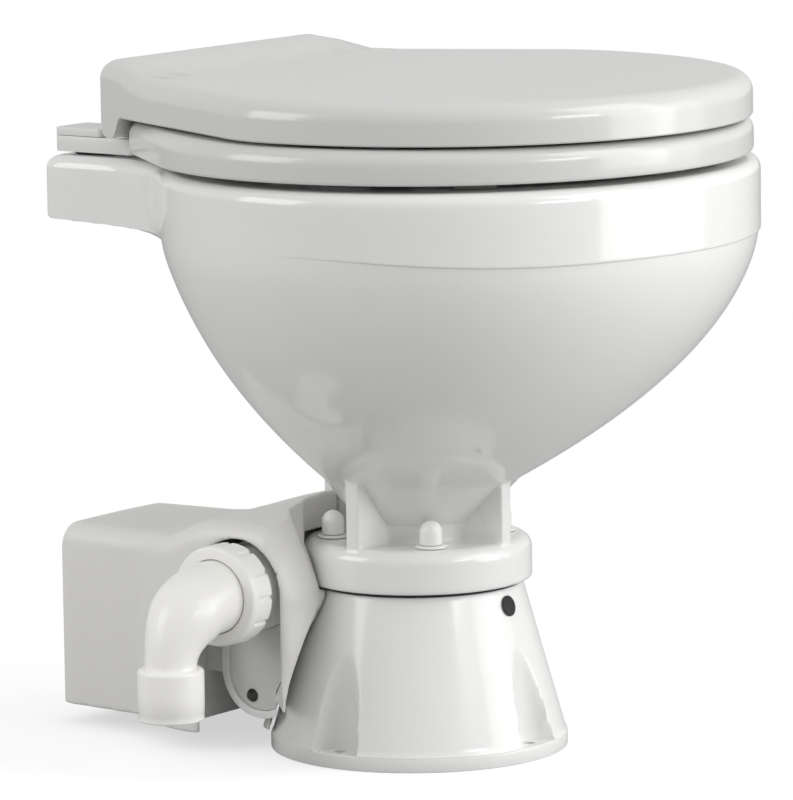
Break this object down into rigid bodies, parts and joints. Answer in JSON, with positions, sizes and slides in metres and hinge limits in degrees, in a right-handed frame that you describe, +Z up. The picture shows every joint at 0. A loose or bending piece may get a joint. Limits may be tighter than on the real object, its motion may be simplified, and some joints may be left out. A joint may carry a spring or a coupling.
{
  "type": "electric marine toilet",
  "caption": "Compact marine toilet: oval bowl on a conical pedestal, hinged seat and lid, macerator pump under a moulded cover and a swivelling side discharge elbow.",
  "frame": {"origin": "on the floor under the middle of the pedestal, in the sump's foot face", "axes": "+Z up, front of the bowl towards -Y, the sitter's left towards +X, the discharge elbow on the -X side"},
  "size_m": [0.3456, 0.3979, 0.3795],
  "materials": {
    "bowl_glaze": "glossy white glaze",
    "lid_gloss": "glossy moulded, light grey-white",
    "pedestal_gloss": "glossy moulded, light grey-white",
    "cover_satin": "satin moulded, light warm grey",
    "hinge_plastic": "semi-gloss moulded, light grey-white",
    "pump_plastic": "satin moulded, light grey",
    "chamber_dark": "satin moulded, mid grey",
    "pipe_white": "satin white pipe plastic",
    "union_white": "satin white plastic",
    "fixing_white": "satin white plastic",
    "inlet_grey": "satin grey plastic",
    "black_rubber": "matt black",
    "bumper_rubber": "matt grey",
    "steel": "brushed",
    "dark_steel": "satin dark",
    "copper": "varnished winding copper",
    "magnet": "matt dark"
  },
  "bodies": {
    "base": {"bowl": "bowl_glaze", "pedestal": "pedestal_gloss", "bowl_gasket": "black_rubber", "vent_plug": "black_rubber", "waste_sump": "chamber_dark", "outlet_seal": "black_rubber", "pump_housing": "pump_plastic", "chamber_plate": "chamber_dark", "chamber_screw": "dark_steel", "motor_plate": "pump_plastic", "shaft_seal": "black_rubber", "bearing_front": "steel", "bearing_rear": "steel", "motor_can": "dark_steel", "motor_end_cap": "chamber_dark", "magnet_left": "magnet", "magnet_right": "magnet", "joker_valve": "black_rubber", "motor_cover": "cover_satin", "rinse_inlet": "inlet_grey", "bowl_stud_1": "steel", "bowl_washer_1": "fixing_white", "cap_nut_1": "fixing_white", "bowl_stud_2": "steel", "bowl_washer_2": "fixing_white", "cap_nut_2": "fixing_white", "bowl_stud_3": "steel", "bowl_washer_3": "fixing_white", "cap_nut_3": "fixing_white", "bowl_stud_4": "steel", "bowl_washer_4": "fixing_white", "cap_nut_4": "fixing_white", "hinge_block_left": "hinge_plastic", "hinge_pin_left": "steel", "hinge_washer_left": "black_rubber", "hinge_bolt_left": "steel", "hinge_nut_left": "fixing_white", "hinge_cap_left": "hinge_plastic", "hinge_block_right": "hinge_plastic", "hinge_pin_right": "steel", "hinge_washer_right": "black_rubber", "hinge_bolt_right": "steel", "hinge_nut_right": "fixing_white", "hinge_cap_right": "hinge_plastic"},
    "lid_body": {"lid": "lid_gloss", "lid_bumper_left": "bumper_rubber", "lid_bumper_right": "bumper_rubber"},
    "seat_body": {"seat": "lid_gloss", "seat_bumper_1": "bumper_rubber", "seat_bumper_2": "bumper_rubber", "seat_bumper_3": "bumper_rubber", "seat_bumper_4": "bumper_rubber"},
    "nut_body": {"union_nut": "union_white"},
    "elbow_body": {"discharge_elbow": "pipe_white"},
    "rotor_body": {"motor_shaft": "steel", "armature": "copper", "impeller": "pipe_white", "macerator_blade": "steel"}
  },
  "joints": [
    {"name": "lid_hinge", "type": "hinge", "parent": "base", "child": "lid_body", "pos_m": [0, 0.1395, 0.348], "axis": [-1, 0, 0], "range_deg": [0, 95]},
    {"name": "seat_hinge", "type": "hinge", "parent": "base", "child": "seat_body", "pos_m": [0, 0.1395, 0.348], "axis": [-1, 0, 0], "range_deg": [0, 91]},
    {"name": "union_nut_turn", "type": "hinge", "parent": "base", "child": "nut_body", "pos_m": [-0.1, 0.058, 0.0929], "axis": [1, 0, 0], "continuous": true},
    {"name": "elbow_swivel", "type": "hinge", "parent": "base", "child": "elbow_body", "pos_m": [-0.1, 0.058, 0.0929], "axis": [1, 0, 0], "continuous": true},
    {"name": "motor_spin", "type": "hinge", "parent": "base", "child": "rotor_body", "pos_m": [-0.015, 0.14, 0.056], "axis": [0, 1, 0], "continuous": true}
  ],
  "couplings": [
    {"joint": "seat_hinge", "follows": "lid_hinge", "ratio": 0.95}
  ]
}
